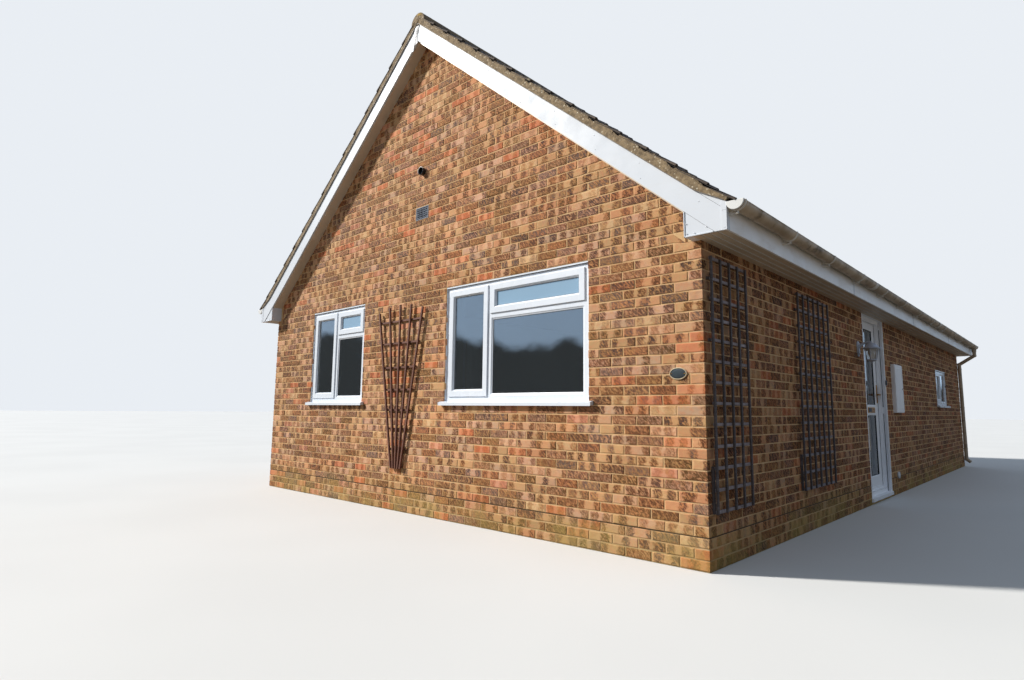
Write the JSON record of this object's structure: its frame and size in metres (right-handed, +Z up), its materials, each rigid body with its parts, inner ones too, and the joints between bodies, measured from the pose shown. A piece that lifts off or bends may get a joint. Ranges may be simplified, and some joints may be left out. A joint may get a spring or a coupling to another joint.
{
  "type": "bungalow",
  "caption": "Single-storey brick bungalow with a front gable, a steep tiled roof with boxed white eaves, white framed windows and a hinged side door",
  "frame": {"origin": "on the ground under the middle of the part's bounding box", "axes": "+Z up; the front gable faces -Y; +Y runs along the ridge and is the longest extent; the side with the door faces +X"},
  "size_m": [7.2756, 12.172, 5.5151],
  "materials": {
    "brick": "mixed red and buff facing brick",
    "concrete": "floated concrete",
    "rafter_timber": "sawn softwood",
    "roof_tile": "weathered concrete tile",
    "mortar": "rough cement mortar",
    "white_plastic": "smooth white",
    "beige_plastic": "faded beige",
    "glazing": "clear sealed units",
    "brass": "polished",
    "grey_metal": "dark grey paint",
    "black_plastic": "gloss black",
    "grey_vent": "weathered grey",
    "trellis_timber": "dark stained"
  },
  "bodies": {
    "house": {"floor_slab": "concrete", "front_wall": "brick", "back_wall": "brick", "left_wall": "brick", "right_wall_front": "brick", "right_wall_rear": "brick", "right_wall_head": "brick", "doorway_base": "brick", "roof_deck_left": "rafter_timber", "roof_deck_right": "rafter_timber", "roof_tiles_left": "roof_tile", "roof_tiles_right": "roof_tile", "ridge_tiles": "roof_tile", "verge_mortar": "mortar", "bargeboards_front": "white_plastic", "bargeboards_back": "white_plastic", "eaves_box_ends": "white_plastic", "verge_soffits": "white_plastic", "fascia_boards": "white_plastic", "eaves_soffits": "white_plastic", "gutters": "beige_plastic", "gutter_brackets": "beige_plastic", "downpipes": "beige_plastic", "front_window_large": "white_plastic", "front_window_small": "white_plastic", "side_window": "white_plastic", "left_windows": "white_plastic", "back_windows": "white_plastic", "window_sills": "white_plastic", "window_glass": "glazing", "door_frame": "white_plastic", "wall_lantern": "grey_metal", "meter_box": "white_plastic", "number_plate": "black_plastic", "gable_vent": "grey_vent", "gable_lamp": "black_plastic", "fan_trellis": "trellis_timber", "side_trellises": "trellis_timber", "bell_push": "black_plastic", "wall_cap": "white_plastic"},
    "side_door": {"door_leaf": "white_plastic", "door_glass": "glazing", "door_handle": "brass", "letter_plate": "brass"},
    "meter_cover": {"meter_box_door": "white_plastic"}
  },
  "joints": [
    {"name": "side_door_swing", "type": "hinge", "parent": "house", "child": "side_door", "pos_m": [3.1065, -1.5885, 1.16], "axis": [0, 0, 1], "range_deg": [0, 90]},
    {"name": "meter_cover_swing", "type": "hinge", "parent": "house", "child": "meter_cover", "pos_m": [3.3055, -0.252, 1.425], "axis": [0, 0, -1], "range_deg": [0, 110]}
  ]
}
